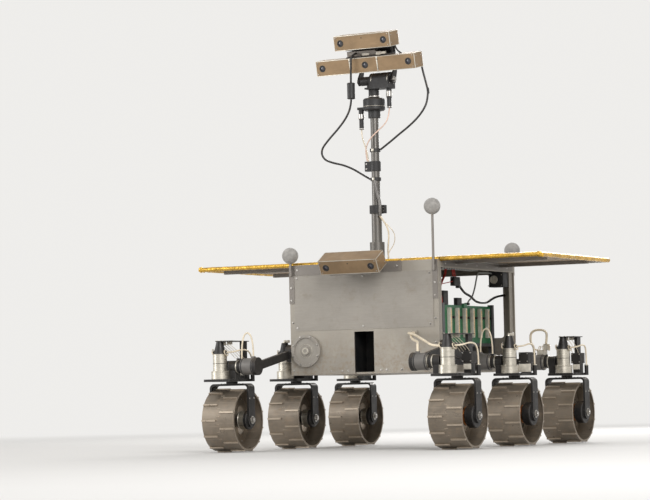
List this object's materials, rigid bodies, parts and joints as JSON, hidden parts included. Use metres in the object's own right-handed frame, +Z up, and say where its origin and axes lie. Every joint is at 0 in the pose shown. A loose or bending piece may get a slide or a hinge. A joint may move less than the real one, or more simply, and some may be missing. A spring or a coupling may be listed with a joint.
{
  "type": "planetary rover prototype",
  "caption": "Half-scale planetary rover prototype: box body on wheels with metal drums, flat solar array, mast with turning camera head and an open equipment side.",
  "frame": {"origin": "on the floor below the middle of the wheels", "axes": "+Z up, the rover drives towards -Y, +X is its left side"},
  "size_m": [0.924, 0.8104, 1.0158],
  "materials": {
    "panel": "satin",
    "facing": "satin",
    "bay_lining": "matte",
    "bracket_grey": "satin",
    "battery_case": "satin",
    "circuit_board": "satin",
    "black_housing": "satin",
    "camera_gold": "satin",
    "array_sheet": "satin",
    "marker_grey": "matte",
    "mast_tube": "satin",
    "black_anodised": "satin",
    "motor_silver": "satin",
    "motor_dark": "satin",
    "wheel_metal": "dusty satin",
    "cable_black": "matte",
    "lead_pale": "satin"
  },
  "bodies": {
    "chassis": {"front_panel": "panel", "rear_panel": "panel", "right_panel": "panel", "floor_panel": "panel", "deck_panel": "panel", "corner_posts": "panel", "front_sheet": "facing", "access_cover": "facing", "front_bay": "bay_lining", "hazard_bracket": "bracket_grey", "array_brackets": "bracket_grey", "marker_posts": "bracket_grey", "battery_box": "battery_case", "board_frame": "battery_case", "main_board": "circuit_board", "power_box": "black_housing", "pan_base": "black_housing", "mast_foot": "black_housing", "mast_clamps": "black_housing", "hazard_camera": "camera_gold", "array_centre": "array_sheet", "array_left": "array_sheet", "array_right": "array_sheet", "marker_balls": "marker_grey", "mast_lower": "mast_tube", "mast_upper": "mast_tube", "legs_front": "black_anodised", "legs_middle": "black_anodised", "legs_rear": "black_anodised", "bogie_left": "black_anodised", "bogie_right": "black_anodised", "bogie_rear": "black_anodised", "steer_motors": "motor_silver", "walk_motors": "motor_dark", "bay_leads": "cable_black", "mast_lead": "lead_pale", "mast_wire": "lead_pale", "leg_leads": "lead_pale"},
    "steering_front_left": {"yoke_front_left": "black_anodised"},
    "steering_front_right": {"yoke_front_right": "black_anodised"},
    "steering_middle_left": {"yoke_middle_left": "black_anodised"},
    "steering_middle_right": {"yoke_middle_right": "black_anodised"},
    "steering_rear_left": {"yoke_rear_left": "black_anodised"},
    "steering_rear_right": {"yoke_rear_right": "black_anodised"},
    "drum_front_left": {"wheel_front_left": "wheel_metal"},
    "drum_front_right": {"wheel_front_right": "wheel_metal"},
    "drum_middle_left": {"wheel_middle_left": "wheel_metal"},
    "drum_middle_right": {"wheel_middle_right": "wheel_metal"},
    "drum_rear_left": {"wheel_rear_left": "wheel_metal"},
    "drum_rear_right": {"wheel_rear_right": "wheel_metal"},
    "mast_head": {"pan_head": "black_housing", "cable_bead": "black_housing", "cable_left_upper": "cable_black", "cable_left_lower": "cable_black", "cable_right_upper": "cable_black", "cable_right_lower": "cable_black", "pan_lead": "lead_pale"},
    "camera_head": {"camera_bracket": "bracket_grey", "camera_wide": "camera_gold", "camera_small": "camera_gold"}
  },
  "joints": [
    {"name": "steer_front_left", "type": "hinge", "parent": "chassis", "child": "steering_front_left", "pos_m": [0.3, -0.328, 0.166], "axis": [0, 0, 1], "range_deg": [-50, 50]},
    {"name": "roll_front_left", "type": "hinge", "parent": "steering_front_left", "child": "drum_front_left", "pos_m": [0.3, -0.328, 0.077], "axis": [1, 0, 0], "continuous": true},
    {"name": "steer_front_right", "type": "hinge", "parent": "chassis", "child": "steering_front_right", "pos_m": [-0.3, -0.328, 0.166], "axis": [0, 0, 1], "range_deg": [-50, 50]},
    {"name": "roll_front_right", "type": "hinge", "parent": "steering_front_right", "child": "drum_front_right", "pos_m": [-0.3, -0.328, 0.077], "axis": [1, 0, 0], "continuous": true},
    {"name": "steer_middle_left", "type": "hinge", "parent": "chassis", "child": "steering_middle_left", "pos_m": [0.3, 0, 0.166], "axis": [0, 0, 1], "range_deg": [-50, 50]},
    {"name": "roll_middle_left", "type": "hinge", "parent": "steering_middle_left", "child": "drum_middle_left", "pos_m": [0.3, 0, 0.077], "axis": [1, 0, 0], "continuous": true},
    {"name": "steer_middle_right", "type": "hinge", "parent": "chassis", "child": "steering_middle_right", "pos_m": [-0.3, 0, 0.166], "axis": [0, 0, 1], "range_deg": [-50, 50]},
    {"name": "roll_middle_right", "type": "hinge", "parent": "steering_middle_right", "child": "drum_middle_right", "pos_m": [-0.3, 0, 0.077], "axis": [1, 0, 0], "continuous": true},
    {"name": "steer_rear_left", "type": "hinge", "parent": "chassis", "child": "steering_rear_left", "pos_m": [0.3, 0.328, 0.166], "axis": [0, 0, 1], "range_deg": [-50, 50]},
    {"name": "roll_rear_left", "type": "hinge", "parent": "steering_rear_left", "child": "drum_rear_left", "pos_m": [0.3, 0.328, 0.077], "axis": [1, 0, 0], "continuous": true},
    {"name": "steer_rear_right", "type": "hinge", "parent": "chassis", "child": "steering_rear_right", "pos_m": [-0.3, 0.328, 0.166], "axis": [0, 0, 1], "range_deg": [-50, 50]},
    {"name": "roll_rear_right", "type": "hinge", "parent": "steering_rear_right", "child": "drum_rear_right", "pos_m": [-0.3, 0.328, 0.077], "axis": [1, 0, 0], "continuous": true},
    {"name": "head_pan", "type": "hinge", "parent": "chassis", "child": "mast_head", "pos_m": [0, -0.126, 0.854], "axis": [0, 0, 1], "range_deg": [-110, 110], "deforming": ["cable_left_lower", "cable_right_lower", "pan_lead"]},
    {"name": "head_tilt", "type": "hinge", "parent": "mast_head", "child": "camera_head", "pos_m": [0, -0.126, 0.898], "axis": [0.9986, -0.0523, 0], "range_deg": [-50, 25], "deforming": ["cable_left_upper", "cable_right_upper"]}
  ]
}
